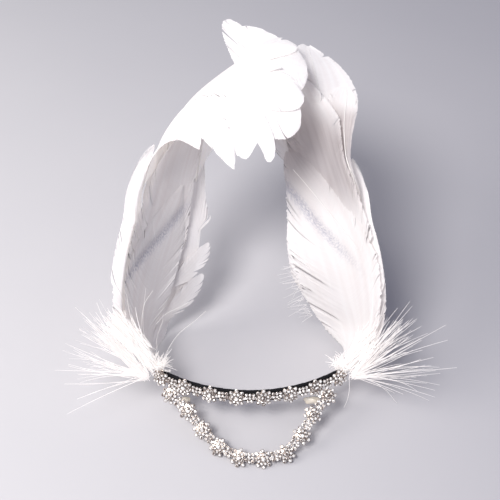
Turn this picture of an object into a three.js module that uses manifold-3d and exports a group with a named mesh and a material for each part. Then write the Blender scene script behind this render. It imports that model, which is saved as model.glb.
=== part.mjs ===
// Ballet feather headpiece, standing on a table as it is put down. Two long feather wings rise from
// the ends of a narrow black forehead band, arch over the head and cross at the crown. Rhinestone
// flowers trim the band, a second string of them hangs from its ends as a swag, and a spiky plume
// hides the root of each wing. Millimetres, +Z up, the swag toward -Y, the right wing on +X.
import * as THREE from 'three';
import { mergeVertices } from 'three/addons/utils/BufferGeometryUtils.js';
import Module from 'manifold-3d';

const { clamp, degToRad, lerp, smoothstep } = THREE.MathUtils;

// Forehead band: an upright strip bent to an arc.
const BAND_RADIUS = 104;
const BAND_FRONT = -25;
const BAND_THICKNESS = 2.6;
const BAND_HEIGHT = 10;
const BAND_TOP = 26;
const BAND_HALF_ANGLE = degToRad(31);
const BAND_STEPS = 14;

// Rhinestone flowers: petals around a cut stone with a flat table. A ring's radius and its narrower
// valleys between petals are shares, and its height and the valleys' dip are millimetres.
const FLOWER_RADIUS = 5.7;
const FLOWER_PETALS = 8;
const FLOWER_RINGS = [
  { radius: 1, height: 0.7, valley: 0.84, dip: 0 },
  { radius: 0.7, height: 2, valley: 1, dip: 0.6 },
  { radius: 0.37, height: 1.2, valley: 1, dip: 0 },
  { radius: 0.33, height: 2.2, valley: 1, dip: 0 },
  { radius: 0.2, height: 2.8, valley: 1, dip: 0 },
];
const LINK_WIDTH = 4;
const LINK_THICKNESS = 1.3;
const LINK_SINK = 0.3;

// Flowers on the band, leaning back a little off its face.
const BAND_FLOWERS = 8;
const BAND_FLOWER_PITCH = 15.4;
const BAND_FLOWER_LEAN = degToRad(8);
const BAND_FLOWER_STANDOFF = 1.4;

// Flowers of the swag, and its route from the band's left end down to the table and up to the right.
const SWAG_FLOWERS = 10;
const SWAG_FACING = [0, -0.62, 0.78];
const SWAG_ROUTE = [
  [-46.5, -22, 19.5], [-37.5, -28.5, 14.5], [-29.5, -37, 9], [-18.5, -47.5, 4], [-5, -54.5, 3],
  [7, -55, 3], [20, -52.5, 4], [29, -44.5, 8.5], [35.5, -34, 14], [45.5, -23, 19.5],
];

// Feathers: a thin vane with a stouter shaft, stacked in layers on the wing. Its outline opens from
// the quill, and tapers from a share of its length to a pointed tip.
const VANE_THICKNESS = 0.9;
const SHAFT_THICKNESS = 1.3;
const LAYER_PITCH = 1.8;
const QUILL_LENGTH = 0.3;
const QUILL_WIDTH = 0.3;
const USUAL_TAPER = 0.45;
const TAPER_BEND = 2.2;
const TAPER_FULLNESS = 0.7;
const TIP_WIDTH = 0.04;
const LENGTH_STEPS = 10;
const WIDTH_STEPS = 4;

// Between these two stations the middle row climbs over the quills of the crown row.
const CLIMB_FROM = 5.1;
const CLIMB_TO = 6.1;

// Plumes at the wing roots, fanned between two angles above the outward line.
const PLUME_PLACE = [60.5, -15.5, 29];
const PLUME_UPWARD = [0, 0.55, 0.83];
const PLUME_FORWARD = [0, -0.83, 0.55];
const PLUME_HEAD = 3.6;
const PLUME_LOCKS = 16;
const PLUME_LENGTH = 50;
const PLUME_LOCK_RADIUS = 1.6;
const PLUME_LOCK_SIDES = 5;
const PLUME_LOWEST = -0.3;
const PLUME_HIGHEST = 1.15;
const PLUME_SCATTER = 0.16;
const GOLDEN_ANGLE = degToRad(137.508);

// Cream pads of glue under the band, where the swag is fixed on.
const PAD_PLACE = [37, -21.5, 12.4];
const PAD_SIZE = [7.5, 4, 5];

const ROUND_STEPS = 10;
const ROUND_ROWS = 6;

const WHITE_FEATHER = new THREE.MeshStandardMaterial({ color: 0xf4f2f0, roughness: 0.75 });
const BLACK_RIBBON = new THREE.MeshStandardMaterial({ color: 0x15151a, roughness: 0.6 });
const SILVER_STONES = new THREE.MeshStandardMaterial({ color: 0xd2d0cf, roughness: 0.2, metalness: 0.9 });
const CREAM_GLUE = new THREE.MeshStandardMaterial({ color: 0xe6d9c4, roughness: 0.6 });

// Wing stations from the root at the band to past the crown, with X measured toward the wing's own
// side. The near edge frames the face, the far edge lies behind it, and camber bows the strip out.
const LEG_STATIONS = [
  { near: [54, -9, 24], far: [54, -2, 18], camber: 1 },
  { near: [68, -3, 36], far: [56, 22, 2.4], camber: 4 },
  { near: [75.5, 2.5, 50], far: [49, 37, 1.4], camber: 8 },
  { near: [78, 12, 66], far: [35, 47, 16], camber: 10 },
  { near: [76, 25, 82], far: [27, 58, 36], camber: 11 },
  { near: [71, 38, 97], far: [24, 74, 51], camber: 11 },
  { near: [64.5, 52, 111], far: [24, 93, 67], camber: 11 },
];
const LEFT_CROWN_STATIONS = [
  { near: [56, 65, 122], far: [20, 114, 86], camber: 12 },
  { near: [40, 73, 132], far: [12, 137, 110], camber: 13 },
  { near: [18, 70, 135], far: [0, 154, 130], camber: 12 },
  { near: [-6, 67, 134], far: [-15, 164, 140], camber: 11 },
  { near: [-32, 68, 130], far: [-34, 160, 142], camber: 10 },
  { near: [-53, 78, 124], far: [-54, 146, 136], camber: 8 },
  { near: [-68, 92, 114], far: [-68, 136, 126], camber: 5 },
];
const RIGHT_CROWN_STATIONS = [
  { near: [58, 66, 121], far: [19, 113, 84], camber: 11 },
  { near: [57.5, 80, 126], far: [12, 131, 101], camber: 10 },
  { near: [58, 95, 130], far: [4, 148, 118], camber: 8 },
  { near: [58, 110, 132], far: [-4, 162, 131], camber: 6 },
  { near: [55, 126, 134], far: [-11, 172, 140], camber: 4 },
  { near: [50, 142, 136], far: [-16, 179, 146], camber: 3 },
  { near: [44, 156, 137], far: [-21, 185, 151], camber: 2 },
  { near: [37, 170, 138], far: [-26, 190, 156], camber: 1 },
];

// Feathers of a wing. Root and tip are station and share of the width from near to far edge, vane is
// the width on the near and far side of the shaft as shares of the strip, layer counts outward from
// the strip, climb is what the middle row rises by, sway bends the shaft across the strip, and taper is
// the share of the length where the vane starts to narrow.
const LEG_FEATHERS = [
  { name: 'lower_front', root: [0.12, 0.34], tip: [5.3, 0.14], vane: [0.24, 0.27], layer: 1 },
  { name: 'lower_back', root: [0.3, 0.76], tip: [4.9, 0.82], vane: [0.22, 0.22], layer: 1 },
  { name: 'middle_front', root: [2.6, 0.13], tip: [7.4, 0.08], vane: [0.17, 0.15], layer: -0.4, climb: 3.7 },
  { name: 'middle_centre', root: [2.9, 0.5], tip: [7.5, 0.42], vane: [0.19, 0.2], layer: -0.3, climb: 3.6 },
  { name: 'middle_back', root: [2.7, 0.86], tip: [7.2, 0.86], vane: [0.13, 0.13], layer: -0.4, climb: 3.7 },
  { name: 'trailing_low', root: [1.7, 0.72], tip: [3.6, 0.93], vane: [0.12, 0.08], layer: -1.8, sway: 0.04 },
];
const LEFT_FEATHERS = [
  { name: 'inner_lower', root: [0.1, 0.45], tip: [6.4, 0.66], vane: [0.38, 0.26], layer: -4, sway: -0.14 },
  { name: 'inner_upper', root: [3, 0.5], tip: [9.2, 0.66], vane: [0.48, 0.2], layer: -2.6 },
  { name: 'trailing_high', root: [3.2, 0.76], tip: [4.9, 0.93], vane: [0.1, 0.08], layer: -1.5, sway: 0.04 },
  { name: 'crown_first', root: [6.1, 0.19], tip: [8.66, -0.07], vane: [0.05, 0.1], layer: 1, taper: 0.6 },
  { name: 'crown_second', root: [6.6, 0.32], tip: [9.54, -0.15], vane: [0.08, 0.24], layer: 2.2, taper: 0.6 },
  { name: 'crown_third', root: [6.7, 0.5], tip: [10.36, -0.05], vane: [0.15, 0.22], layer: 1, taper: 0.6 },
  { name: 'crown_fourth', root: [6.6, 0.68], tip: [10.9, 0.3], vane: [0.2, 0.2], layer: 2.3, taper: 0.6 },
  { name: 'crown_fifth', root: [6.4, 0.86], tip: [10.8, 0.8], vane: [0.18, 0.15], layer: 0.9, taper: 0.6 },
  { name: 'under_front', root: [8.4, 0.35], tip: [10.8, 0.14], vane: [0.2, 0.2], layer: -0.4, taper: 0.6 },
  { name: 'under_back', root: [8.6, 0.76], tip: [10.9, 0.6], vane: [0.2, 0.2], layer: -0.4, taper: 0.6 },
];
const RIGHT_FEATHERS = [
  { name: 'inner_lower', root: [0.1, 0.58], tip: [7.3, 0.86], vane: [0.46, 0.44], layer: -3, sway: -0.22 },
  { name: 'inner_upper', root: [3.4, 0.4], tip: [10.6, 0.5], vane: [0.4, 0.46], layer: -1.7, sway: -0.04 },
  { name: 'crown_first', root: [5.9, 0.16], tip: [10.9, -0.04], vane: [0.13, 0.22], layer: 0, sway: 0.03 },
  { name: 'crown_second', root: [6.3, 0.44], tip: [13.2, 0.1], vane: [0.36, 0.24], layer: 1.2, sway: 0.02 },
  { name: 'crown_third', root: [6.2, 0.7], tip: [12.8, 0.52], vane: [0.3, 0.4], layer: 0, sway: 0.02 },
  { name: 'crown_fourth', root: [6.3, 0.9], tip: [12.1, 0.92], vane: [0.29, 0.22], layer: 1.2 },
];
const WINGS = [
  { name: 'left', side: -1, crown: LEFT_CROWN_STATIONS, feathers: LEFT_FEATHERS },
  { name: 'right', side: 1, crown: RIGHT_CROWN_STATIONS, feathers: RIGHT_FEATHERS },
];

const SLOPE_STEP = 0.002;
const WELD_DISTANCE = 1e-4;

const wasm = await Module();
wasm.setup();

// Turns a triangle list into a geometry whose faces point out, whichever hand it was made with.
function closedGeometry(points, triangles) {
  let volume = 0;
  for (const [a, b, c] of triangles) {
    volume += points[a].dot(new THREE.Vector3().crossVectors(points[b], points[c]));
  }
  const facing = volume < 0 ? triangles.map(([a, b, c]) => [a, c, b]) : triangles;
  const geometry = new THREE.BufferGeometry().setFromPoints(points);
  geometry.setIndex(facing.flat());
  geometry.computeVertexNormals();
  return geometry;
}

// A thin closed shell between two grids of points of the same rows and columns.
function shellGeometry(outerFace, innerFace, rows, columns) {
  const half = outerFace.length;
  const at = (row, column) => row * columns + column;
  const triangles = [];
  const quad = (a, b, c, d) => triangles.push([a, b, c], [a, c, d]);
  for (let row = 0; row < rows - 1; row += 1) {
    for (let column = 0; column < columns - 1; column += 1) {
      const corners = [at(row, column), at(row + 1, column), at(row + 1, column + 1), at(row, column + 1)];
      quad(...corners);
      quad(...corners.map((corner) => corner + half).reverse());
    }
  }
  const rim = [];
  for (let column = 0; column < columns - 1; column += 1) rim.push(at(0, column));
  for (let row = 0; row < rows - 1; row += 1) rim.push(at(row, columns - 1));
  for (let column = columns - 1; column > 0; column -= 1) rim.push(at(rows - 1, column));
  for (let row = rows - 1; row > 0; row -= 1) rim.push(at(row, 0));
  rim.forEach((corner, k) => {
    const next = rim[(k + 1) % rim.length];
    quad(corner, next, next + half, corner + half);
  });
  return closedGeometry([...outerFace, ...innerFace], triangles);
}

// Joins closed geometries into one body.
function fuse(geometries) {
  const solids = geometries.map((geometry) => {
    const bare = geometry.clone();
    bare.deleteAttribute('normal');
    bare.deleteAttribute('uv');
    const merged = mergeVertices(bare, WELD_DISTANCE);
    return new wasm.Manifold(new wasm.Mesh({
      numProp: 3,
      vertProperties: new Float32Array(merged.getAttribute('position').array),
      triVerts: new Uint32Array(merged.getIndex().array),
    }));
  });
  const joined = solids.reduce((whole, solid) => whole.add(solid)).getMesh();
  const geometry = new THREE.BufferGeometry();
  geometry.setAttribute('position', new THREE.BufferAttribute(joined.vertProperties, 3));
  geometry.setIndex(new THREE.BufferAttribute(joined.triVerts, 1));
  geometry.computeVertexNormals();
  return geometry;
}

// The twisted strip that a wing's feathers lie on.
class WingStrip {
  constructor(side, stations) {
    const curve = (pick) => new THREE.CatmullRomCurve3(stations.map(pick), false, 'catmullrom');
    this.side = side;
    this.spans = stations.length - 1;
    this.near = curve((station) => new THREE.Vector3(...station.near));
    this.far = curve((station) => new THREE.Vector3(...station.far));
    this.camber = curve((station) => new THREE.Vector3(station.camber, 0, 0));
  }

  chord(station, share) {
    const along = station / this.spans;
    return this.near.getPoint(along).lerp(this.far.getPoint(along), share);
  }

  at(station, share, lift) {
    const s = clamp(station, SLOPE_STEP, this.spans - SLOPE_STEP);
    const along = this.chord(s + SLOPE_STEP, share).sub(this.chord(s - SLOPE_STEP, share));
    const across = this.chord(s, share + SLOPE_STEP).sub(this.chord(s, share - SLOPE_STEP));
    const outward = across.cross(along).normalize();
    const bow = this.camber.getPoint(s / this.spans).x * 4 * share * (1 - share);
    const point = this.chord(s, share).addScaledVector(outward, bow + lift);
    point.x *= this.side;
    return point;
  }
}

// Share of a vane's full width along the feather: narrow quill end, broad middle, pointed tip.
function vaneOutline(u, taper) {
  const quill = lerp(QUILL_WIDTH, 1, smoothstep(u, 0, QUILL_LENGTH));
  const past = Math.max(0, (u - taper) / (1 - taper));
  const tip = (1 - past ** TAPER_BEND) ** TAPER_FULLNESS;
  return Math.max(quill * tip, TIP_WIDTH);
}

function featherGeometry(strip, { root, tip, vane, layer, climb = 0, sway = 0, taper = USUAL_TAPER }) {
  const outerFace = [];
  const innerFace = [];
  for (let row = 0; row <= LENGTH_STEPS; row += 1) {
    const u = row / LENGTH_STEPS;
    const outline = vaneOutline(u, taper);
    const station = lerp(root[0], tip[0], u);
    const shaft = lerp(root[1], tip[1], u) + sway * 4 * u * (1 - u);
    const lift = LAYER_PITCH * (layer + climb * smoothstep(station, CLIMB_FROM, CLIMB_TO));
    for (let column = 0; column <= WIDTH_STEPS; column += 1) {
      const w = (2 * column) / WIDTH_STEPS - 1;
      const share = shaft + w * outline * (w < 0 ? vane[0] : vane[1]);
      const thickness = w === 0 ? SHAFT_THICKNESS : VANE_THICKNESS;
      outerFace.push(strip.at(station, share, lift + thickness / 2));
      innerFace.push(strip.at(station, share, lift - thickness / 2));
    }
  }
  return shellGeometry(outerFace, innerFace, LENGTH_STEPS + 1, WIDTH_STEPS + 1);
}

// A flower lies in the XY plane facing +Z, its back on the plane.
function flowerGeometry() {
  const around = 2 * FLOWER_PETALS;
  const points = [new THREE.Vector3(0, 0, 0)];
  for (const ring of FLOWER_RINGS) {
    for (let k = 0; k < around; k += 1) {
      const inValley = k % 2 === 1;
      const angle = (2 * Math.PI * k) / around;
      const reach = FLOWER_RADIUS * ring.radius * (inValley ? ring.valley : 1);
      const height = ring.height - (inValley ? ring.dip : 0);
      points.push(new THREE.Vector3(reach * Math.cos(angle), reach * Math.sin(angle), height));
    }
  }
  const front = points.push(new THREE.Vector3(0, 0, FLOWER_RINGS.at(-1).height)) - 1;
  const table = front - around;
  const triangles = [];
  for (let k = 0; k < around; k += 1) {
    const next = (k + 1) % around;
    triangles.push([0, 1 + next, 1 + k]);
    for (let low = 1; low < table; low += around) {
      const high = low + around;
      triangles.push([low + k, low + next, high + next], [low + k, high + next, high + k]);
    }
    triangles.push([front, table + k, table + next]);
  }
  return closedGeometry(points, triangles);
}

// A flat link between two flowers, its ends sunk into their rims.
function linkGeometry(from, to) {
  const along = to.place.clone().sub(from.place);
  const length = along.length() - 2 * FLOWER_RADIUS * (1 - LINK_SINK);
  along.normalize();
  const facing = from.facing.clone().add(to.facing);
  facing.addScaledVector(along, -facing.dot(along)).normalize();
  const turn = new THREE.Matrix4().makeBasis(along, facing.clone().cross(along), facing);
  const middle = from.place.clone().lerp(to.place, 0.5).addScaledVector(facing, LINK_THICKNESS);
  const link = new THREE.BoxGeometry(length, LINK_WIDTH, LINK_THICKNESS);
  return link.applyMatrix4(turn.setPosition(middle));
}

// A string of flowers on frames of a place, a facing and a direction along the string.
function trimGeometry(frames) {
  const flowers = frames.map(({ place, facing, along }) => {
    const turn = new THREE.Matrix4().makeBasis(along, facing.clone().cross(along), facing);
    return flowerGeometry().applyMatrix4(turn.setPosition(place));
  });
  const links = frames.slice(1).map((frame, k) => linkGeometry(frames[k], frame));
  return fuse([...flowers, ...links]);
}

function bandGeometry() {
  const arc = new THREE.Shape();
  const start = -Math.PI / 2 - BAND_HALF_ANGLE;
  const end = -Math.PI / 2 + BAND_HALF_ANGLE;
  arc.absarc(0, 0, BAND_RADIUS, start, end, false);
  arc.absarc(0, 0, BAND_RADIUS - BAND_THICKNESS, end, start, true);
  arc.closePath();
  const band = new THREE.ExtrudeGeometry(arc, {
    depth: BAND_HEIGHT, bevelEnabled: false, curveSegments: BAND_STEPS,
  });
  return band.translate(0, BAND_FRONT + BAND_RADIUS, BAND_TOP - BAND_HEIGHT);
}

// Flowers in a row along the middle of the band's outer face.
function bandTrimFrames() {
  const middle = (BAND_FLOWERS - 1) / 2;
  const arcCentre = new THREE.Vector3(0, BAND_FRONT + BAND_RADIUS, BAND_TOP - BAND_HEIGHT / 2);
  return Array.from({ length: BAND_FLOWERS }, (_, k) => {
    const angle = ((k - middle) * BAND_FLOWER_PITCH) / BAND_RADIUS;
    const out = new THREE.Vector3(Math.sin(angle), -Math.cos(angle), 0);
    const along = new THREE.Vector3(Math.cos(angle), Math.sin(angle), 0);
    const facing = out.clone().applyAxisAngle(along, -BAND_FLOWER_LEAN);
    const place = arcCentre.clone().addScaledVector(out, BAND_RADIUS + BAND_FLOWER_STANDOFF);
    return { place, facing, along };
  });
}

// Flowers evenly spaced along the swag, turned to face up and to the front.
function swagFrames() {
  const route = new THREE.CatmullRomCurve3(SWAG_ROUTE.map((point) => new THREE.Vector3(...point)));
  return Array.from({ length: SWAG_FLOWERS }, (_, k) => {
    const u = k / (SWAG_FLOWERS - 1);
    const place = route.getPointAt(u);
    const along = route.getTangentAt(u);
    const facing = new THREE.Vector3(...SWAG_FACING);
    facing.addScaledVector(along, -facing.dot(along)).normalize();
    return { place, facing, along };
  });
}

// A plume is a fan of stiff spiky locks from one small head. It opens outward, and up along the wing.
function plumeGeometry(side) {
  const head = new THREE.SphereGeometry(PLUME_HEAD, ROUND_STEPS, ROUND_ROWS);
  const upright = new THREE.Vector3(0, 1, 0);
  const upward = new THREE.Vector3(...PLUME_UPWARD);
  const forward = new THREE.Vector3(...PLUME_FORWARD);
  const locks = Array.from({ length: PLUME_LOCKS }, (_, k) => {
    const angle = lerp(PLUME_LOWEST, PLUME_HIGHEST, k / (PLUME_LOCKS - 1));
    const direction = new THREE.Vector3(side * Math.cos(angle), 0, 0);
    direction.addScaledVector(upward, Math.sin(angle));
    direction.addScaledVector(forward, PLUME_SCATTER * Math.sin(GOLDEN_ANGLE * k)).normalize();
    const length = PLUME_LENGTH * (1 + PLUME_SCATTER * Math.cos(GOLDEN_ANGLE * 2 * k));
    const lock = new THREE.ConeGeometry(PLUME_LOCK_RADIUS, length, PLUME_LOCK_SIDES);
    lock.translate(0, length / 2, 0);
    return lock.applyQuaternion(new THREE.Quaternion().setFromUnitVectors(upright, direction));
  });
  return fuse([head, ...locks]);
}

function piece(name, geometry, material) {
  const mesh = new THREE.Mesh(geometry, material);
  mesh.name = name;
  return mesh;
}

// One wing with its feathers, the plume over its root and the glue pad under its end of the band.
function wingGroup({ name, side, crown, feathers }) {
  const wing = new THREE.Group();
  const strip = new WingStrip(side, [...LEG_STATIONS, ...crown]);
  for (const plan of [...LEG_FEATHERS, ...feathers]) {
    wing.add(piece(`${name}_${plan.name}_feather`, featherGeometry(strip, plan), WHITE_FEATHER));
  }
  const plume = piece(`${name}_plume`, plumeGeometry(side), WHITE_FEATHER);
  plume.position.set(side * PLUME_PLACE[0], PLUME_PLACE[1], PLUME_PLACE[2]);
  const ball = new THREE.SphereGeometry(0.5, ROUND_STEPS, ROUND_ROWS);
  const pad = piece(`${name}_glue_pad`, ball, CREAM_GLUE);
  pad.position.set(side * PAD_PLACE[0], PAD_PLACE[1], PAD_PLACE[2]);
  pad.scale.set(...PAD_SIZE);
  return wing.add(plume, pad);
}

const headpiece = new THREE.Group();
headpiece.add(
  piece('head_band', bandGeometry(), BLACK_RIBBON),
  piece('band_trim', trimGeometry(bandTrimFrames()), SILVER_STONES),
  piece('swag_trim', trimGeometry(swagFrames()), SILVER_STONES),
  ...WINGS.map(wingGroup),
);

// The origin is on the table under the middle of the whole piece.
const box = new THREE.Box3().setFromObject(headpiece);
const centre = box.getCenter(new THREE.Vector3());
headpiece.position.set(-centre.x, -centre.y, -box.min.z);

export default headpiece;
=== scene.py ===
import math

import bpy
import numpy as np
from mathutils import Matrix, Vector


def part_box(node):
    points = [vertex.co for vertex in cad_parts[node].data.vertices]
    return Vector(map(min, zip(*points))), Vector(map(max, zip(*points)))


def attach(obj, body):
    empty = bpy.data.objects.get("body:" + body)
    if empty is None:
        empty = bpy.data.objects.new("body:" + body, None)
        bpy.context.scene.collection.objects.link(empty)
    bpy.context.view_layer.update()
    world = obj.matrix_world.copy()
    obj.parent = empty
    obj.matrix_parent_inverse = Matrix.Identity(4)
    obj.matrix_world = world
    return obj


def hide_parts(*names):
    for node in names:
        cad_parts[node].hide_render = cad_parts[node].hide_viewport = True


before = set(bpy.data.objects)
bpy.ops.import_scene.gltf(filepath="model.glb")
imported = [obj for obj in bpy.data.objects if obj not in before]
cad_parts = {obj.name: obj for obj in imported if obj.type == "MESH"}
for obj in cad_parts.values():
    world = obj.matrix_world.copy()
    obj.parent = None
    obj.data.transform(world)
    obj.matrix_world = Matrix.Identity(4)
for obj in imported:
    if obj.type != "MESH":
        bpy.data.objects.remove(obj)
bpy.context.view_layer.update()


# Camera: it stands in front of the band and looks down at the table, as the photograph does.
# Its focal length is in pixels of the photograph, and its place in millimetres on the table.
PHOTO_SIDE = 500
FOCAL_LENGTH = 800
LOOK_DOWN = math.radians(48)
CAMERA_PLACE = (0, -273.84, 426.32)
BAND_FRONT = -25
BAND_TOP = 26

# The row's frame has its origin under the middle of the whole piece, and the sizes here are measured
# on the table from between the wings, so the band's own box gives the step from one to the other.
band_low, band_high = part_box("head_band")
TABLE_ORIGIN = np.array([0, band_low.y - BAND_FRONT / 1000, band_high.z - BAND_TOP / 1000])


def to_row(points):
    """Millimetres on the table to metres in the row's frame."""
    return np.asarray(points, float) / 1000 + TABLE_ORIGIN


camera_data = bpy.data.cameras.new("camera")
camera_data.lens = camera_data.sensor_width * FOCAL_LENGTH / PHOTO_SIDE
camera = bpy.data.objects.new("camera", camera_data)
camera.location = to_row(CAMERA_PLACE)
camera.rotation_euler = (math.pi / 2 - LOOK_DOWN, 0, 0)
bpy.context.scene.collection.objects.link(camera)
bpy.context.scene.camera = camera
bpy.context.scene.view_settings.view_transform = "Standard"


# Table and light: a plain pale table top, painted duller toward the right as painted light falloff,
# under a soft lamp high at the front, a second one low on the left and a faint cool fill. The right
# wing's inner face is lit by them, and the left one's is in shade.
MIX_FIRST_COLOUR = 6
MIX_SECOND_COLOUR = 7
MIX_COLOUR_RESULT = 2


class Paint:
    """One socket of a material's nodes. Operators add Math nodes, and node() adds any other kind."""

    def __init__(self, tree, socket=None):
        self.tree = tree
        self.socket = socket

    def node(self, kind, settings=None, inputs=None, output=0):
        made = self.tree.nodes.new("ShaderNode" + kind)
        for key, value in (settings or {}).items():
            setattr(made, key, value)
        for key, value in (inputs or {}).items():
            if isinstance(value, Paint):
                self.tree.links.new(value.socket, made.inputs[key])
            else:
                made.inputs[key].default_value = value
        return Paint(self.tree, made.outputs[output] if made.outputs else None)

    def math(self, operation, *values):
        return self.node("Math", {"operation": operation}, dict(enumerate(values)))

    def __add__(self, other):
        return self.math("ADD", self, other)

    def __radd__(self, other):
        return self.math("ADD", other, self)

    def __sub__(self, other):
        return self.math("SUBTRACT", self, other)

    def __rsub__(self, other):
        return self.math("SUBTRACT", other, self)

    def __mul__(self, other):
        return self.math("MULTIPLY", self, other)

    def __rmul__(self, other):
        return self.math("MULTIPLY", other, self)

    def blend(self, first, second):
        """Colour between two colours or colour sockets by this value, held between 0 and 1."""
        colours = {"Factor": self, MIX_FIRST_COLOUR: first, MIX_SECOND_COLOUR: second}
        settings = {"data_type": "RGBA", "clamp_factor": True}
        return self.node("Mix", settings, colours, MIX_COLOUR_RESULT)

    def mix(self, first, second):
        """Colour between two colours of three numbers each."""
        return self.blend((*first, 1), (*second, 1))

    def stretched(self, x, y):
        """This UV socket scaled along and across, as a vector."""
        return self.node("VectorMath", {"operation": "MULTIPLY"}, {0: self, 1: (x, y, 1)})

    def noise(self, scale, detail=2):
        """Noise over this vector socket, from 0 to 1."""
        return self.node("TexNoise", {}, {"Vector": self, "Scale": scale, "Detail": detail})


def start_material(name):
    material = bpy.data.materials.new(name)
    material.use_nodes = True
    material.node_tree.nodes.clear()
    return material, Paint(material.node_tree)


def end_material(paint, shader):
    paint.node("OutputMaterial", inputs={"Surface": shader})


TABLE_HALF = 4
LAMPS = (
    {"name": "front lamp", "place": (-0.36, -0.42, 0.96), "size": 0.45, "power": 10.5,
     "colour": (1.0, 0.98, 0.97)},
    {"name": "left lamp", "place": (-0.9, -0.1, 0.7), "size": 0.6, "power": 5.5,
     "colour": (1.0, 0.96, 0.91)},
)
LAMP_AIM = Vector((0.0, 0.0, 0.05))
FILL_COLOUR = (0.76, 0.79, 1.0)
FILL_STRENGTH = 0.38
TABLE_COLOURS = ((0.58, 0.57, 0.575), (0.485, 0.475, 0.5))
# How steeply the table's colour is painted darker toward the right, as painted light falloff.
TABLE_PAINTED_FALLOFF = 1.6
TABLE_CLOUD = 0.3
CLOUD_SCALE = 9

table_paint, paint = start_material("pale table top")
table_place = paint.node("TexCoord", output="Object")
sideways = paint.node("SeparateXYZ", {}, {"Vector": table_place}, "X")
cloud = table_place.noise(CLOUD_SCALE, 4)
# The table is painted darker toward the right, a painted light falloff, over a random cloudy tone.
painted_falloff_and_cloud = 0.5 - TABLE_CLOUD / 2 + TABLE_PAINTED_FALLOFF * sideways + TABLE_CLOUD * cloud
table_shader = paint.node("BsdfPrincipled", {}, {
    "Base Color": painted_falloff_and_cloud.mix(*TABLE_COLOURS), "Roughness": 0.6, "Specular IOR Level": 0.25,
})
end_material(paint, table_shader)

table_mesh = bpy.data.meshes.new("table_top")
corners = [(-TABLE_HALF, -TABLE_HALF, 0), (TABLE_HALF, -TABLE_HALF, 0)]
corners += [(TABLE_HALF, TABLE_HALF, 0), (-TABLE_HALF, TABLE_HALF, 0)]
table_mesh.from_pydata(corners, [], [(0, 1, 2, 3)])
table_mesh.materials.append(table_paint)
table_top = bpy.data.objects.new("table_top", table_mesh)
bpy.context.scene.collection.objects.link(table_top)

for plan in LAMPS:
    lamp_data = bpy.data.lights.new(plan["name"], "AREA")
    lamp_data.shape = "DISK"
    lamp_data.size = plan["size"]
    lamp_data.energy = plan["power"]
    lamp_data.color = plan["colour"]
    lamp = bpy.data.objects.new(plan["name"], lamp_data)
    lamp.location = plan["place"]
    lamp.rotation_euler = (LAMP_AIM - lamp.location).to_track_quat("-Z", "Y").to_euler()
    bpy.context.scene.collection.objects.link(lamp)

world = bpy.data.worlds.new("soft fill")
world.use_nodes = True
fill = world.node_tree.nodes["Background"]
fill.inputs["Color"].default_value = (*FILL_COLOUR, 1)
fill.inputs["Strength"].default_value = FILL_STRENGTH
bpy.context.scene.world = world


# Forehead band: a narrow stiff strip wound with black ribbon, bent to the curve of the forehead. The
# turns of the ribbon overlap a little, and its ends are glued in under the wing roots.
BAND_RADIUS = 104
BAND_THICKNESS = 2.6
BAND_HEIGHT = 10
BAND_HALF_ANGLE = math.radians(31)
BAND_STEPS = 220
BAND_CORNER = 1.1
RIBBON_TURN = 7.0
RIBBON_SLANT = 0.25
RIBBON_STEP = 0.22
RIBBON_COLOURS = ((0.003, 0.003, 0.004), (0.012, 0.012, 0.014))
WEAVE_PITCH = 0.45
WEAVE_WEAR_SCALE = 0.8
CORNER_STEPS = 3


def mesh_piece(name, points, faces, material, uv=None, smooth=True):
    """A mesh object from points in millimetres on the table, with UVs in millimetres for each point."""
    mesh = bpy.data.meshes.new(name)
    mesh.from_pydata(to_row(points).tolist(), [], faces)
    if uv is not None:
        layer = mesh.uv_layers.new(name="UVMap")
        corner_points = np.zeros(len(mesh.loops), int)
        mesh.loops.foreach_get("vertex_index", corner_points)
        layer.data.foreach_set("uv", np.asarray(uv, float)[corner_points].ravel())
    mesh.polygons.foreach_set("use_smooth", [smooth] * len(mesh.polygons))
    mesh.materials.append(material)
    piece = bpy.data.objects.new(name, mesh)
    bpy.context.scene.collection.objects.link(piece)
    return piece


def dress(piece, slot, *nodes):
    """The piece rides with the whole headpiece and stands for these solids."""
    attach(piece, "root")
    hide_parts(*nodes)


def grid_faces(rows, columns, start=0, around=False):
    """Quads of a grid of points, row after row, whose columns may close round on themselves."""
    faces = []
    for row in range(rows - 1):
        for column in range(columns if around else columns - 1):
            a = start + row * columns + column
            b = start + row * columns + (column + 1) % columns
            faces.append((a, b, b + columns, a + columns))
    return faces


def smoothstep(x, low, high):
    t = np.clip((np.asarray(x, float) - low) / (high - low), 0, 1)
    return t * t * (3 - 2 * t)


def band_section():
    """Rounded upright section of the band: depth behind the outer face, and height."""
    section = []
    inset = BAND_CORNER
    for depth, height, turn in (
        (inset, BAND_HEIGHT - inset, 0), (BAND_THICKNESS - inset, BAND_HEIGHT - inset, 1),
        (BAND_THICKNESS - inset, inset, 2), (inset, inset, 3),
    ):
        for k in range(CORNER_STEPS + 1):
            angle = math.pi - (turn + k / CORNER_STEPS) * math.pi / 2
            section.append((depth + inset * math.cos(angle), height + inset * math.sin(angle)))
    return np.array(section)


ribbon, paint = start_material("black ribbon")
uv = paint.node("TexCoord", output="UV")
ribbon_along = paint.node("SeparateXYZ", {}, {"Vector": uv}, "X")
ribbon_across = paint.node("SeparateXYZ", {}, {"Vector": uv}, "Y")
warp = paint.math("SINE", ribbon_along * (2 * math.pi / WEAVE_PITCH))
weft = paint.math("SINE", ribbon_across * (2 * math.pi / WEAVE_PITCH))
weave = 0.5 + 0.25 * warp * weft + 0.25 * uv.noise(WEAVE_WEAR_SCALE, 3)
ribbon_normal = paint.node("Bump", {}, {"Strength": 0.5, "Distance": 0.0002, "Height": weave})
ribbon_shader = paint.node("BsdfPrincipled", {}, {
    "Base Color": weave.mix(*RIBBON_COLOURS), "Roughness": 0.7, "Specular IOR Level": 0.15,
    "Normal": ribbon_normal,
})
end_material(paint, ribbon_shader)

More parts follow.
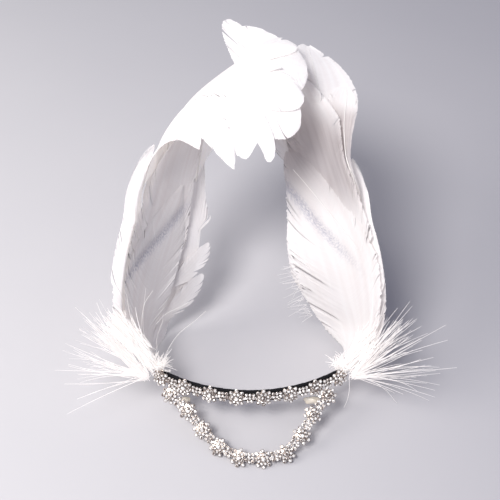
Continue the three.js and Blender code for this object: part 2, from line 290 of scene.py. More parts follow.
section = band_section()
angles = np.linspace(-BAND_HALF_ANGLE, BAND_HALF_ANGLE, BAND_STEPS + 1)
along_band = angles[:, None] * BAND_RADIUS
turn_place = (along_band / RIBBON_TURN + section[None, :, 1] * RIBBON_SLANT / RIBBON_TURN) % 1
swell = RIBBON_STEP * (turn_place - 1)
middle_depth = BAND_THICKNESS / 2
depth = middle_depth + (section[None, :, 0] - middle_depth) * (1 + swell / middle_depth)
radius = BAND_RADIUS - depth
band_points = np.stack([
    radius * np.sin(angles)[:, None],
    BAND_FRONT + BAND_RADIUS - radius * np.cos(angles)[:, None],
    np.broadcast_to(BAND_TOP - BAND_HEIGHT + section[None, :, 1], radius.shape),
], axis=-1)
around_section = np.arange(len(section)) * (2 * (BAND_HEIGHT + BAND_THICKNESS) / len(section))
band_uv = np.stack(np.broadcast_arrays(along_band, around_section[None, :]), axis=-1)
band_faces = grid_faces(BAND_STEPS + 1, len(section), around=True)
last_row = BAND_STEPS * len(section)
band_faces.append(tuple(range(len(section))))
band_faces.append(tuple(last_row + k for k in reversed(range(len(section)))))
head_band = mesh_piece(
    "head_band_ribbon", band_points.reshape(-1, 3), band_faces, ribbon, band_uv.reshape(-1, 2))
dress(head_band, "ribbon", "head_band")


# Rhinestone trims: clear cut stones clawed into small silver cups, soldered in flowers and short
# links. One string is sewn along the band, and the other hangs from its ends down to the table.
FLOWER_PETALS = 8
BAND_FLOWERS = 8
BAND_FLOWER_PITCH = 15.4
BAND_FLOWER_LEAN = math.radians(26)
BAND_FLOWER_STANDOFF = 2.2
BAND_FLOWER_RISE = 3.4
SWAG_FLOWERS = 10
SWAG_FACING = np.array([0, -0.62, 0.78])
SWAG_ROUTE = np.array([
    [-46.5, -22, 19.5], [-37.5, -28.5, 14.5], [-29.5, -37, 9], [-18.5, -47.5, 4.2], [-5, -54.5, 3.4],
    [7, -55, 3.4], [20, -52.5, 4.2], [29, -44.5, 8.5], [35.5, -34, 14], [45.5, -23, 19.5],
])
SWAG_SAMPLES = 400
SWAG_SLOPE_STEP = 0.01
# Sizes of a stone, its cup and its claws, and a cup ring's reach and height, are shares of the stone's
# radius. A glint is a painted reflection, how bright a facet is painted: tables and the facets round
# them take theirs by chance.
STONE_SIDES = 8
STONE_TABLE = 0.55
STONE_HEIGHT = 0.5
STONE_GIRDLE = 0.97
STONE_WOBBLE = 0.07
STONE_SLANT = 0.3
TABLE_GLINTS = (0.08, 0.7, 1.0)
TABLE_GLINT_ODDS = (0.3, 0.3, 0.4)
FACET_GLINTS = (0.0, 0.3, 0.9, 1.0)
CUP_SIDES = 10
CUP_FOOT = (0.6, -1.1)
CUP_OUTSIDE = (1.1, 0.05)
CUP_LIP = (0.93, 0.1)
CLAWS = 4
CLAW_HALF_WIDTH = 0.12
CLAW_OUTSIDE = 1.1
CLAW_INSIDE = 0.9
CLAW_TOP = (0.78, 0.3)
METAL = -1
FLOWER_STONES = (
    {"count": 1, "ring": 0, "radius": 1.55, "height": 1.9, "tilt": 0, "between": True},
    {"count": 8, "ring": 2.75, "radius": 0.98, "height": 1.5, "tilt": 0.2, "between": True},
    {"count": 8, "ring": 4.55, "radius": 1.12, "height": 0.9, "tilt": 0.4, "between": False},
)
PLATE_REACH = (4.9, 4.0)
PLATE_RINGS = ((0.5, 0.9), (1, 0.5), (1, 0.15), (0.5, 0.1))
LINK_STONE_RADIUS = 1.0
LINK_STANDOFF = 1.2
BAND_LINK = (
    (-2.1, 2.1), (0, 2.1), (2.1, 2.1), (-2.1, 0), (0, 0), (2.1, 0), (-1.1, -2.1), (1.1, -2.1),
)
SWAG_LINK = ((-1.1, -2.0), (1.1, -2.0), (-1.1, 0), (1.1, 0), (-1.1, 2.0), (1.1, 2.0))
# Facets are painted dark to bright by glint as painted reflections; the stones have a painted glow.
STONE_COLOURS = ((0.09, 0.05, 0.035), (1.0, 0.975, 0.94))
STONE_PAINTED_GLOW = 0.26
CUP_COLOURS = ((0.2, 0.14, 0.11), (0.8, 0.73, 0.66))
TARNISH_SCALE = 900


def catmull(points, place):
    """Smooth curve through rows of numbers: place counts the rows, and may be an array."""
    rows = np.asarray(points, float)
    padded = np.vstack([2 * rows[0] - rows[1], rows, 2 * rows[-1] - rows[-2]])
    place = np.asarray(place, float)
    k = np.clip(np.floor(place).astype(int), 0, len(rows) - 2)
    t = (place - k)[..., None]
    before, start, end, after = (padded[k + step] for step in range(4))
    bend = 2 * before - 5 * start + 4 * end - after + t * (3 * (start - end) + after - before)
    return start + 0.5 * t * (end - before + t * bend)


def unit(vectors):
    return vectors / np.linalg.norm(vectors, axis=-1, keepdims=True)


def band_trim_frames():
    """Place, facing and run of each flower along the band's outer face."""
    frames = []
    for k in range(BAND_FLOWERS):
        angle = (k - (BAND_FLOWERS - 1) / 2) * BAND_FLOWER_PITCH / BAND_RADIUS
        out = np.array([math.sin(angle), -math.cos(angle), 0])
        along = np.array([math.cos(angle), math.sin(angle), 0])
        facing = out * math.cos(BAND_FLOWER_LEAN) + np.array([0, 0, math.sin(BAND_FLOWER_LEAN)])
        height = BAND_TOP - BAND_HEIGHT / 2 + BAND_FLOWER_RISE
        middle = np.array([0, BAND_FRONT + BAND_RADIUS, height])
        frames.append((middle + out * (BAND_RADIUS + BAND_FLOWER_STANDOFF), facing, along))
    return frames


def swag_frames():
    """Place, facing and run of each flower of the hanging string, evenly spaced along its curve."""
    places = np.linspace(0, len(SWAG_ROUTE) - 1, SWAG_SAMPLES)
    line = catmull(SWAG_ROUTE, places)
    run = np.concatenate([[0], np.cumsum(np.linalg.norm(np.diff(line, axis=0), axis=1))])
    frames = []
    for target in np.linspace(0, run[-1], SWAG_FLOWERS):
        place = np.interp(target, run, places)
        ahead = catmull(SWAG_ROUTE, place + SWAG_SLOPE_STEP)
        along = unit(ahead - catmull(SWAG_ROUTE, place - SWAG_SLOPE_STEP))
        facing = unit(SWAG_FACING - along * np.dot(SWAG_FACING, along))
        frames.append((catmull(SWAG_ROUTE, place), facing, along))
    return frames


def stone_and_cup(radius, rng):
    """Points, faces and a glint for each face of one stone in its cup, facing +Z."""
    spin = rng.uniform(0, 2 * math.pi)
    turn = 2 * math.pi / STONE_SIDES
    points, faces, glints = [], [], []

    def ring(sides, reach, height, start):
        first = len(points)
        for k in range(sides):
            angle = start + 2 * math.pi * k / sides
            out = radius * reach
            points.append((out * math.cos(angle), out * math.sin(angle), radius * height))
        return first

    table = ring(STONE_SIDES, STONE_TABLE, STONE_HEIGHT, spin)
    girdle = ring(STONE_SIDES, STONE_GIRDLE, 0, spin + turn / 2)
    faces.append(tuple(table + k for k in range(STONE_SIDES)))
    glints.append(rng.choice(TABLE_GLINTS, p=TABLE_GLINT_ODDS))
    for k in range(STONE_SIDES):
        after = (k + 1) % STONE_SIDES
        faces.append((table + k, girdle + k, table + after))
        faces.append((girdle + k, girdle + after, table + after))
        glints += list(rng.choice(FACET_GLINTS, 2))
    foot = ring(CUP_SIDES, *CUP_FOOT, 0)
    outside = ring(CUP_SIDES, *CUP_OUTSIDE, 0)
    lip = ring(CUP_SIDES, *CUP_LIP, 0)
    for low, high in ((foot, outside), (outside, lip)):
        for k in range(CUP_SIDES):
            after = (k + 1) % CUP_SIDES
            faces.append((low + k, low + after, high + after, high + k))
    faces.append(tuple(foot + k for k in reversed(range(CUP_SIDES))))
    for claw in range(CLAWS):
        angle = spin + (claw + 0.5) * 2 * math.pi / CLAWS
        out = np.array([math.cos(angle), math.sin(angle), 0])
        side = np.array([-math.sin(angle), math.cos(angle), 0]) * radius * CLAW_HALF_WIDTH
        first = len(points)
        low_out = out * radius * CLAW_OUTSIDE
        low_in = out * radius * CLAW_INSIDE
        top = out * radius * CLAW_TOP[0] + np.array([0, 0, radius * CLAW_TOP[1]])
        points += [tuple(low_out - side), tuple(low_out + side), tuple(low_in), tuple(top)]
        faces += [(first, first + 1, first + 3), (first + 1, first + 2, first + 3)]
        faces += [(first + 2, first, first + 3), (first + 1, first, first + 2)]
    glints += [METAL] * (len(faces) - len(glints))
    return np.array(points), faces, glints


def flower_plate():
    """The thin scalloped plate that a flower's cups stand on."""
    points = []
    columns = 2 * FLOWER_PETALS
    for reach, height in PLATE_RINGS:
        for k in range(columns):
            petal = PLATE_REACH[k % 2]
            angle = math.pi * k / FLOWER_PETALS
            points.append((petal * reach * math.cos(angle), petal * reach * math.sin(angle), height))
    faces = [tuple(reversed(face)) for face in grid_faces(len(PLATE_RINGS), columns, around=True)]
    last_ring = (len(PLATE_RINGS) - 1) * columns
    faces.append(tuple(range(columns)))
    faces.append(tuple(last_ring + k for k in reversed(range(columns))))
    return np.array(points), faces, [METAL] * len(faces)


def trim_piece(name, frames, link_offsets, seed, materials):
    """A string of stone flowers with link stones between them, in one mesh."""
    rng = np.random.default_rng(seed)
    points, faces, glints = [], [], []

    def put(solid, place, facing, along):
        local, local_faces, local_glints = solid
        first = sum(len(block) for block in points)
        turn = np.array([along, np.cross(facing, along), facing])
        points.append(local @ turn + place)
        faces.extend(tuple(first + k for k in face) for face in local_faces)
        glints.extend(local_glints)

    for place, facing, along in frames:
        across = np.cross(facing, along)
        put(flower_plate(), place, facing, along)
        for ring in FLOWER_STONES:
            for k in range(ring["count"]):
                angle = 2 * math.pi * k / ring["count"]
                if ring["between"]:
                    angle += math.pi / FLOWER_PETALS
                out = along * math.cos(angle) + across * math.sin(angle)
                wobble = rng.normal(0, STONE_WOBBLE, 3)
                stone_facing = unit(facing + out * ring["tilt"] + wobble)
                stone_along = unit(np.cross(out + facing * STONE_SLANT, stone_facing))
                stone_place = place + out * ring["ring"] + facing * ring["height"]
                put(stone_and_cup(ring["radius"], rng), stone_place, stone_facing, stone_along)
    for start, end in zip(frames, frames[1:]):
        along = unit(end[0] - start[0])
        facing = start[1] + end[1]
        facing = unit(facing - along * np.dot(facing, along))
        across = np.cross(facing, along)
        middle = (start[0] + end[0]) / 2 + facing * LINK_STANDOFF
        for offset in link_offsets:
            place = middle + along * offset[0] + across * offset[1]
            put(stone_and_cup(LINK_STONE_RADIUS, rng), place, facing, along)
    piece = mesh_piece(name, np.vstack(points), faces, materials[0], smooth=False)
    piece.data.materials.append(materials[1])
    metal = np.array(glints) == METAL
    piece.data.polygons.foreach_set("material_index", metal.astype(int))
    glint = piece.data.attributes.new("glint", "FLOAT", "FACE")
    glint.data.foreach_set("value", np.clip(glints, 0, 1))
    return piece


stones, paint = start_material("clear cut stones")
facet = paint.node("Attribute", {"attribute_name": "glint"}, output="Fac")
# Each facet's colour is a painted reflection, and it is given off again as a painted glow.
stone_colour = facet.mix(*STONE_COLOURS)
stone_shader = paint.node("BsdfPrincipled", {}, {
    "Base Color": stone_colour, "Metallic": 0.4, "Roughness": 0.06, "Coat Weight": 1.0,
    "Coat Roughness": 0.02, "Emission Color": stone_colour, "Emission Strength": STONE_PAINTED_GLOW,
})
end_material(paint, stone_shader)

silver, paint = start_material("silver cups")
tarnish = paint.node("TexCoord", output="Object").noise(TARNISH_SCALE, 3)
cup_shader = paint.node("BsdfPrincipled", {}, {
    "Base Color": tarnish.mix(*CUP_COLOURS), "Metallic": 0.85, "Roughness": 0.3,
})
end_material(paint, cup_shader)

band_trim = trim_piece("band_trim_stones", band_trim_frames(), BAND_LINK, 11, (stones, silver))
dress(band_trim, "stones", "band_trim")
swag_trim = trim_piece("swag_trim_stones", swag_frames(), SWAG_LINK, 12, (stones, silver))
dress(swag_trim, "stones", "swag_trim")


# Glue pads: cream dabs of hot glue, squeezed out under the band where the swag is fixed on. They set
# in uneven rounded lumps with a dull shine.
PADS = (
    {"name": "left", "place": np.array([-39, -21.5, 12.8]), "size": np.array([8, 4.4, 5.4])},
    {"name": "right", "place": np.array([37, -21.7, 12.6]), "size": np.array([11, 5, 6])},
)
PAD_ROWS = 16
PAD_STEPS = 24
PAD_FULLNESS = 0.9
PAD_WAVES = {"turns": 3, "height": 0.1}
PAD_RIPPLES = {"turns": 5, "height": 0.07}
GLUE_COLOURS = ((0.78, 0.69, 0.55), (0.92, 0.87, 0.78))
MOTTLE_SCALE = 420

glue, paint = start_material("dried glue")
mottle = paint.node("TexCoord", output="Object").noise(MOTTLE_SCALE, 3)
glue_bump = paint.node("Bump", {}, {"Strength": 0.3, "Distance": 0.0005, "Height": mottle})
glue_shader = paint.node("BsdfPrincipled", {}, {
    "Base Color": mottle.mix(*GLUE_COLOURS), "Roughness": 0.35, "Normal": glue_bump,
})
end_material(paint, glue_shader)

for dab in PADS:
    tilt = np.linspace(0, math.pi, PAD_ROWS)[:, None]
    turn = np.linspace(0, 2 * math.pi, PAD_STEPS, endpoint=False)[None, :]
    ball = np.stack(np.broadcast_arrays(
        np.sin(tilt) * np.cos(turn), np.sin(tilt) * np.sin(turn), np.cos(tilt)), axis=-1)
    waves = PAD_WAVES["height"] * np.sin(PAD_WAVES["turns"] * turn + dab["place"][0]) * np.sin(2 * tilt)
    ripples = PAD_RIPPLES["height"] * np.sin(PAD_RIPPLES["turns"] * turn) * np.sin(tilt) ** 2
    lump = PAD_FULLNESS + waves + ripples
    pad_points = ball * lump[..., None] * dab["size"] / 2 + dab["place"]
    pad_faces = [tuple(reversed(face)) for face in grid_faces(PAD_ROWS, PAD_STEPS, around=True)]
    pad = mesh_piece(f"{dab['name']}_glue_dab", pad_points.reshape(-1, 3), pad_faces, glue)
    dress(pad, "glue", f"{dab['name']}_glue_pad")


# Wings: white goose feathers glued in overlapping rows, each a curved vane of fine barbs on a pale
# shaft. The barbs cling together in clumps, which part along the edges in small splits.
LAYER_PITCH = 1.8
QUILL_LENGTH = 0.3
QUILL_WIDTH = 0.3
USUAL_TAPER = 0.45
TAPER_BEND = 2.2
TAPER_FULLNESS = 0.7
TIP_WIDTH = 0.04
CLIMB_STATIONS = (5.1, 6.1)
SLOPE_STEP = 0.002

LEG_STATIONS = [
    {"near": [54, -9, 24], "far": [54, -2, 18], "camber": 1},
    {"near": [68, -3, 36], "far": [56, 22, 2.4], "camber": 4},
    {"near": [75.5, 2.5, 50], "far": [49, 37, 1.4], "camber": 8},
    {"near": [78, 12, 66], "far": [35, 47, 16], "camber": 10},
    {"near": [76, 25, 82], "far": [27, 58, 36], "camber": 11},
    {"near": [71, 38, 97], "far": [24, 74, 51], "camber": 11},
    {"near": [64.5, 52, 111], "far": [24, 93, 67], "camber": 11},
]
LEFT_CROWN_STATIONS = [
    {"near": [56, 65, 122], "far": [20, 114, 86], "camber": 12},
    {"near": [40, 73, 132], "far": [12, 137, 110], "camber": 13},
    {"near": [18, 70, 135], "far": [0, 154, 130], "camber": 12},
    {"near": [-6, 67, 134], "far": [-15, 164, 140], "camber": 11},
    {"near": [-32, 68, 130], "far": [-34, 160, 142], "camber": 10},
    {"near": [-53, 78, 124], "far": [-54, 146, 136], "camber": 8},
    {"near": [-68, 92, 114], "far": [-68, 136, 126], "camber": 5},
]
RIGHT_CROWN_STATIONS = [
    {"near": [58, 66, 121], "far": [19, 113, 84], "camber": 11},
    {"near": [57.5, 80, 126], "far": [12, 131, 101], "camber": 10},
    {"near": [58, 95, 130], "far": [4, 148, 118], "camber": 8},
    {"near": [58, 110, 132], "far": [-4, 162, 131], "camber": 6},
    {"near": [55, 126, 134], "far": [-11, 172, 140], "camber": 4},
    {"near": [50, 142, 136], "far": [-16, 179, 146], "camber": 3},
    {"near": [44, 156, 137], "far": [-21, 185, 151], "camber": 2},
    {"near": [37, 170, 138], "far": [-26, 190, 156], "camber": 1},
]

# A wing is a twisted strip through its stations, and a feather's root and tip are a station and a share
# of the strip's width. Vane is the width on the near and far side of the shaft, sway bows the shaft
# sideways, taper is where the tip starts to narrow, and notch is a bite in the near side. Inset keeps a
# vane short of the wing's near edge, and free lets it pass the far one. Layer counts outward from the
# strip and climb adds to it further up, settle lets both edges down, nose lifts the tip to the next
# row, and roll turns the near edge outward after a dip. Splits is how often each side parts, gather
# draws the clumps together, and loose frees the barbs. Valley is a crease across the vane, which gets
# a speckled blue painted shade, and dusk the stretch in the crown's shade, painted a duller beige. The
# feathers that the lamps light most brightly are marked for a painted glow.
LEG_FEATHERS = [
    {"name": "lower_front", "root": [0.12, 0.34], "tip": [5.3, 0.14], "vane": [0.26, 0.27], "layer": 1,
     "splits": [0, 2], "roll": 8.5, "dip": 4.3, "inset": 0.016},
    {"name": "lower_back", "root": [0.3, 0.76], "tip": [4.9, 0.82], "vane": [0.22, 0.19], "layer": 1,
     "splits": [0, 1]},
    {"name": "middle_front", "root": [2.6, 0.13], "tip": [7.4, 0.08], "vane": [0.13, 0.15], "layer": -0.4,
     "climb": 2.4, "splits": [0, 0], "roll": 8.2, "dip": 2, "inset": 0, "painted_glow": True},
    {"name": "middle_centre", "root": [2.9, 0.5], "tip": [7.5, 0.42], "vane": [0.19, 0.2], "layer": -0.3,
     "climb": 2.4, "splits": [0, 0]},
    {"name": "middle_back", "root": [2.7, 0.86], "tip": [7.2, 0.86], "vane": [0.22, 0.13], "layer": -0.9,
     "climb": 2.4, "splits": [0, 1]},
    {"name": "trailing_low", "root": [1.7, 0.6], "tip": [4.0, 0.93], "vane": [0.12, 0.08], "layer": -1.8,
     "sway": 0.04, "splits": [1, 7], "loose": 0.4, "free": True},
]
LEFT_FEATHERS = [
    {"name": "inner_lower", "root": [0.1, 0.45], "tip": [6.4, 0.66], "vane": [0.36, 0.26], "layer": -4,
     "sway": -0.14, "splits": [0, 0], "settle": -1.6, "nose": 2.2, "inset": 0.06,
     "valley": [3.35, 0.04, 0.27]},
    {"name": "inner_upper", "root": [3, 0.5], "tip": [9.2, 0.66], "vane": [0.56, 0.19], "layer": -2.6,
     "splits": [0, 0], "settle": -0.5, "inset": 0.055, "valley": [3.35, 0.04, 0.27]},
    {"name": "trailing_high", "root": [3.2, 0.64], "tip": [4.9, 0.94], "vane": [0.1, 0.08], "layer": -1.5,
     "sway": 0.04, "splits": [1, 6], "loose": 0.4, "free": True},
    {"name": "crown_first", "root": [6.1, 0.19], "tip": [8.66, -0.07], "vane": [0.03, 0.2], "layer": 1,
     "sway": 0.04, "splits": [4, 0], "painted_glow": True, "taper": 0.8},
    {"name": "crown_second", "root": [6.6, 0.32], "tip": [9.54, -0.15], "vane": [0.08, 0.24], "layer": 1.6,
     "sway": 0.09, "splits": [1, 0], "painted_glow": True, "taper": 0.6, "settle": 1},
    {"name": "crown_third", "root": [6.7, 0.5], "tip": [10.36, -0.05], "vane": [0.17, 0.24], "layer": 1,
     "sway": 0.02, "splits": [0, 0], "painted_glow": True, "taper": 0.7, "notch": [0.893, 0.04, 0.95]},
    {"name": "crown_fourth", "root": [6.6, 0.68], "tip": [10.9, 0.3], "vane": [0.2, 0.22], "layer": 1.6,
     "sway": 0.04, "splits": [0, 1], "painted_glow": True, "taper": 0.7, "settle": 1},
    {"name": "crown_fifth", "root": [6.4, 0.86], "tip": [10.8, 0.8], "vane": [0.2, 0.16], "layer": 0.9,
     "splits": [0, 1], "painted_glow": True, "taper": 0.7},
    {"name": "under_front", "root": [8.4, 0.35], "tip": [10.84, 0.18], "vane": [0.2, 0.24], "layer": 0.2,
     "sway": 0.04, "splits": [2, 1], "painted_glow": True, "taper": 0.72},
    {"name": "under_back", "root": [8.6, 0.76], "tip": [11.0, 0.58], "vane": [0.26, 0.22], "layer": 0.2,
     "splits": [1, 2], "painted_glow": True, "taper": 0.8},
]
RIGHT_FEATHERS = [
    {"name": "inner_lower", "root": [0.1, 0.58], "tip": [7.3, 0.86], "vane": [0.5, 0.44], "layer": -3,
     "sway": -0.22, "splits": [0, 1], "gather": 0.03, "settle": -1.5, "nose": 1.2, "roll": 6, "dip": 0,
     "inset": 0.012, "valley": [4.33, 0.43, 0.267], "dusk": [5.2, 7.6, 8, 9]},
    {"name": "inner_upper", "root": [3.4, 0.4], "tip": [10.6, 0.5], "vane": [0.44, 0.46], "layer": -2.2,
     "sway": -0.04, "splits": [0, 0], "gather": 0.03, "settle": -1.2, "roll": 5, "dip": 0, "inset": 0.02,
     "dusk": [5, 6.5, 7.8, 9.4]},
    {"name": "crown_first", "root": [5.4, 0.16], "tip": [10.9, -0.04], "vane": [0.13, 0.22], "layer": 0,
     "sway": 0.03, "splits": [0, 0], "taper": 0.55, "dusk": [6.6, 7.6, 9, 10]},
    {"name": "crown_second", "root": [6.3, 0.44], "tip": [13.2, 0.1], "vane": [0.36, 0.24], "layer": 0.6,
     "sway": 0.02, "splits": [1, 0], "settle": 0.8, "taper": 0.5},
    {"name": "crown_third", "root": [6.2, 0.7], "tip": [12.8, 0.52], "vane": [0.3, 0.4], "layer": 0,
     "sway": 0.02, "splits": [1, 2], "taper": 0.6},
    {"name": "crown_fourth", "root": [6.3, 0.9], "tip": [12.1, 0.92], "vane": [0.29, 0.22], "layer": 0.6,
     "splits": [2, 3], "settle": 0.8, "taper": 0.6},
]
WINGS = (
    {"name": "left", "side": -1, "rolled": 1, "seed": 100,
     "far_edge": [(1.0, 1.0), (1.8, 0.95), (2.4, 0.88), (3.0, 0.86), (5.2, 0.88), (6.2, 1.2)],
     "stations": LEG_STATIONS + LEFT_CROWN_STATIONS, "feathers": LEFT_FEATHERS},
    {"name": "right", "side": 1, "rolled": 0.3, "seed": 150,
     "far_edge": [(0, 1.2), (1, 1.2)],
     "stations": LEG_STATIONS + RIGHT_CROWN_STATIONS, "feathers": RIGHT_FEATHERS},
)
BARB_PITCH = 0.7
BARB_STEPS = 14
EDGE_STEPS = 0.75
FIRST_BARB = 0.005
BARB_RUN = 0.98
BARB_SLANT = 0.17
SLANT_FADE = 0.3
BARB_CURVE = 1.4
BARB_UV_LENGTH = 20
USUAL_GATHER = 0.06
CLUMP_SHIFT = 0.004
CLUMP_REACH = 0.025
CLUMP_LIFT = 0.15
LOOSE_LIFT = 3
BARB_REACH = 0.012
BARB_LIFT = 0.06
USUAL_SETTLE = 0.4
RIM_WIDTH = 0.065
RIM_CURL = 1.4
DIP_WIDTH = 0.14
RIM_STATIONS = (6.3, 7.9)
NEAR_EDGE = 0.03
EDGE_DRAWN_IN = 0.05
DRAWN_STATIONS = (4.9, 6.4)
VALLEY_WIDTH = 0.06
VALLEY_DEPTH = 0.7
VALLEY_START = (-0.9, 0.6)
VALLEY_END = (2.2, 2.7)
SHAFT_STEPS = 40
SHAFT_SIDES = 6
SHAFT_RADII = (0.45, 0.1)
SHAFT_END = 0.97
SHAFT_REFERENCE = np.array([0.3, 0.2, 0.9])
SHAFT_LIFT = 0.6
CROWN_SHAFT_LIFT = -0.4
CROWN_ROOTS = 5
FEATHER_COLOURS = ((0.84, 0.8, 0.79), (0.94, 0.935, 0.93))
# Colours of painted shade: a blue one in the crease, and a dull beige one in the crown's shade.
VALLEY_PAINTED_SHADE = (0.36, 0.37, 0.46)
DUSK_PAINTED_SHADE = (0.48, 0.43, 0.43)
# Strength of the painted glow on the feathers that the lamps light most brightly.
PAINTED_GLOW_STRENGTH = 0.2
GLOW_COLOUR = (0.95, 0.9, 0.87)
SHAFT_COLOURS = ((0.88, 0.86, 0.82), (0.93, 0.92, 0.9))
FEATHER_GLOW = 0.27
# Sizes of the fine streaks, the speckles of the crease's painted shade, the soft streaks of painted fold
# shade, and the shaft's grain.
STREAK_SCALES = (1.2, 0.06)
SPECKLE_SCALES = (1.1, 0.9)
FOLD_SHADE_SCALES = (0.012, 0.28)
GRAIN_SCALES = (0.2, 1)


class WingStrip:
    """The twisted strip that a wing's feathers lie on."""

    def __init__(self, wing):
        self.side = wing["side"]
        self.rolled = wing["rolled"]
        self.far_stations, self.far_shares = zip(*wing["far_edge"])
        self.rows = [[*row["near"], *row["far"], row["camber"]] for row in wing["stations"]]
        self.last = len(wing["stations"]) - 1

    def near_edge(self, station):
        """Share where the wing's near edge runs, drawn in toward the crown."""
        return NEAR_EDGE + EDGE_DRAWN_IN * smoothstep(station, *DRAWN_STATIONS)

    def far_edge(self, station):
        """Share where the wing's far edge runs."""
        return np.interp(station, self.far_stations, self.far_shares)

    def chord(self, station, share):
        """Point on the straight line from the near edge to the far one."""
        row = catmull(self.rows, station)
        return row[..., 0:3] + (row[..., 3:6] - row[..., 0:3]) * np.asarray(share)[..., None]

    def at(self, station, share, lift):
        """Point on the strip's bowed face, lifted outward."""
        s = np.clip(station, SLOPE_STEP, self.last - SLOPE_STEP)
        along = self.chord(s + SLOPE_STEP, share) - self.chord(s - SLOPE_STEP, share)
        across = self.chord(s, share + SLOPE_STEP) - self.chord(s, share - SLOPE_STEP)
        outward = unit(np.cross(across, along))
        bow = catmull(self.rows, s)[..., 6] * 4 * share * (1 - share)
        point = self.chord(s, share) + outward * (bow + lift)[..., None]
        return point * np.array([self.side, 1, 1])


def vane_outline(u, taper):
    """Share of the full width along a vane, narrow at the quill and at the tip."""
    quill = QUILL_WIDTH + (1 - QUILL_WIDTH) * smoothstep(u, 0, QUILL_LENGTH)
    past = np.maximum(0, (u - taper) / (1 - taper))
    tip = np.maximum(0, 1 - past ** TAPER_BEND) ** TAPER_FULLNESS
    return np.maximum(quill * tip, TIP_WIDTH)


class Feather:
    """Places on one feather: u along it, w across it from -1 at the near edge to 1 at the far edge."""

    def __init__(self, strip, plan):
        self.strip = strip
        self.plan = plan

    def place(self, u, w):
        """Station and share of the width on the wing's strip."""
        root, tip = self.plan["root"], self.plan["tip"]
        u = np.clip(u, 0, 1)
        station = root[0] + (tip[0] - root[0]) * u
        shaft = root[1] + (tip[1] - root[1]) * u + self.plan.get("sway", 0) * 4 * u * (1 - u)
        outline = vane_outline(u, self.plan.get("taper", USUAL_TAPER))
        near, far = (outline * width for width in self.plan["vane"])
        if "inset" in self.plan:
            near = np.minimum(near, shaft - self.strip.near_edge(station) - self.plan["inset"])
        if not self.plan.get("free", False):
            far = np.minimum(far, self.strip.far_edge(station) - shaft)
        return station, shaft + w * np.where(np.asarray(w) < 0, near, far)

    def notched(self, sign, u):
        """Share of the full reach that is left where a bite is missing from one side of the vane."""
        if "notch" not in self.plan or sign > 0:
            return 1
        middle, width, depth = self.plan["notch"]
        return 1 - depth * np.exp(-((u - middle) / width) ** 2)

    def valley(self, u, w):
        """How deep in the soft crease that crosses an inner feather, from 0 to 1, which also sets its
        painted shade.
        """
        station, share = self.place(u, w)
        if "valley" not in self.plan:
            return np.zeros(np.shape(share))
        start, low, slope = self.plan["valley"]
        away = (share - low - slope * (station - start)) / VALLEY_WIDTH
        begun = smoothstep(station, start + VALLEY_START[0], start + VALLEY_START[1])
        kept = smoothstep(-station, -start - VALLEY_END[1], -start - VALLEY_END[0])
        return np.exp(-away ** 2) * (begun * kept)

    def dusk(self, u, w):
        """How far in the crown's shade, where the vane is painted a duller beige shade, from 0 to 1."""
        station, share = self.place(u, w)
        if "dusk" not in self.plan:
            return np.zeros(np.shape(share))
        start, full, until, gone = self.plan["dusk"]
        shaded = smoothstep(station, start, full) * smoothstep(-station, -gone, -until)
        return np.broadcast_to(shaded, np.shape(share))

    def at(self, u, w, lift=0):
        """Point on the feather, lifted outward from its layer."""
        station, share = self.place(u, w)
        climb = self.plan.get("climb", 0) * smoothstep(station, *CLIMB_STATIONS)
        base = LAYER_PITCH * (self.plan["layer"] + climb) + VALLEY_DEPTH * self.valley(u, w)
        edge = np.abs(w) ** 2 * self.plan.get("settle", USUAL_SETTLE)
        nose = self.plan.get("nose", 0) * np.clip(u, 0, 1) ** 3
        return self.strip.at(station, share, base + lift - edge + nose + self.rim(station, share))

    def rim(self, station, share):
        """Lift where the wing's near edge first dips inward and then rolls out to face the front."""
        if "roll" not in self.plan:
            return 0
        inner = self.strip.near_edge(station) + RIM_WIDTH
        turned = np.clip((inner - share) / RIM_WIDTH, 0, 1) ** RIM_CURL * self.plan["roll"]
        dipped = smoothstep(-share, -inner - DIP_WIDTH, -inner) * self.plan["dip"]
        kept = smoothstep(-station, -RIM_STATIONS[1], -RIM_STATIONS[0])
        return self.strip.rolled * (turned - dipped) * kept


class MeshParts:
    """Points, faces and values for each point, gathered for one mesh."""

    def __init__(self):
        self.points, self.faces, self.uvs, self.shade_masks = [], [], [], []
        self.count = 0

    def add_grid(self, grid, uv, valley, dusk, around=False):
        rows, columns = grid.shape[:2]
        self.faces += grid_faces(rows, columns, self.count, around)
        self.points.append(grid.reshape(-1, 3))
        self.uvs.append(uv.reshape(-1, 2))
        self.shade_masks.append(np.stack([valley, dusk], axis=-1).reshape(-1, 2))
        self.count += rows * columns


